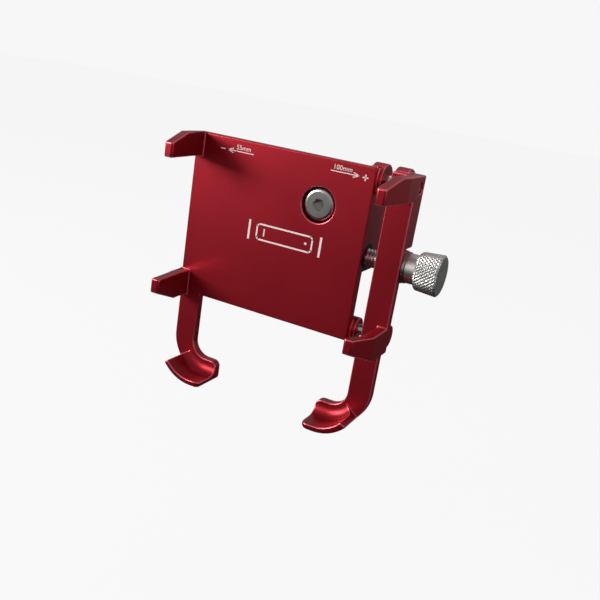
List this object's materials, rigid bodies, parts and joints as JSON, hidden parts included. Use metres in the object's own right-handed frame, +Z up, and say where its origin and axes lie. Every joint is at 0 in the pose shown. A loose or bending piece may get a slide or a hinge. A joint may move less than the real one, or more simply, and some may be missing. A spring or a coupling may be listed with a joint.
{
  "type": "phone holder with handlebar clamp",
  "caption": "Flat aluminium phone holder with four side claws and two hooked feet, its width set by a knurled knob, on a swivelling handlebar clamp.",
  "frame": {"origin": "centre of the handlebar's axis in the clamp, on the axis of the swivel bolt", "axes": "+Z up along the handlebar's axis, -Y out of the plate's front towards the user, +X towards the knob"},
  "size_m": [0.0731, 0.0681, 0.0707],
  "materials": {
    "red_anodised": "bead-blasted and anodised red, satin",
    "black_rubber": "matt, ribbed",
    "dark_nylon": "moulded",
    "ground_steel": "ground and polished",
    "nickel_knob": "nickel plated, knurled grip and polished hub",
    "plated_steel": "bright plated",
    "black_steel": "black oxide"
  },
  "bodies": {
    "clamp": {"clamp_ring": "red_anodised", "clamp_liner": "black_rubber", "pinch_bolt": "plated_steel", "pinch_washer": "plated_steel", "pinch_nut": "plated_steel", "swivel_bolt": "plated_steel", "bolt_washer": "plated_steel", "friction_washer": "dark_nylon"},
    "holder": {"holder_body": "red_anodised", "screw_insert": "black_steel"},
    "arm": {"sliding_arm": "red_anodised", "upper_guide_rod": "ground_steel", "lower_guide_rod": "ground_steel", "grub_screws": "black_steel"},
    "screw": {"adjusting_screw": "plated_steel", "retaining_clip": "plated_steel", "thrust_washer": "plated_steel", "knob": "nickel_knob"}
  },
  "joints": [
    {"name": "holder_swivel", "type": "hinge", "parent": "clamp", "child": "holder", "pos_m": [0, -0.0288, 0], "axis": [0, 1, 0], "continuous": true},
    {"name": "arm_slide", "type": "slide", "parent": "holder", "child": "arm", "axis": [1, 0, 0], "range_m": [-0.0024, 0.0417]},
    {"name": "screw_turn", "type": "hinge", "parent": "arm", "child": "screw", "pos_m": [0.0246, -0.024, -0.0111], "axis": [1, 0, 0], "range_deg": [-1081, 18767]}
  ],
  "couplings": [
    {"joint": "screw_turn", "follows": "arm_slide", "rad_per_m": 7854}
  ]
}
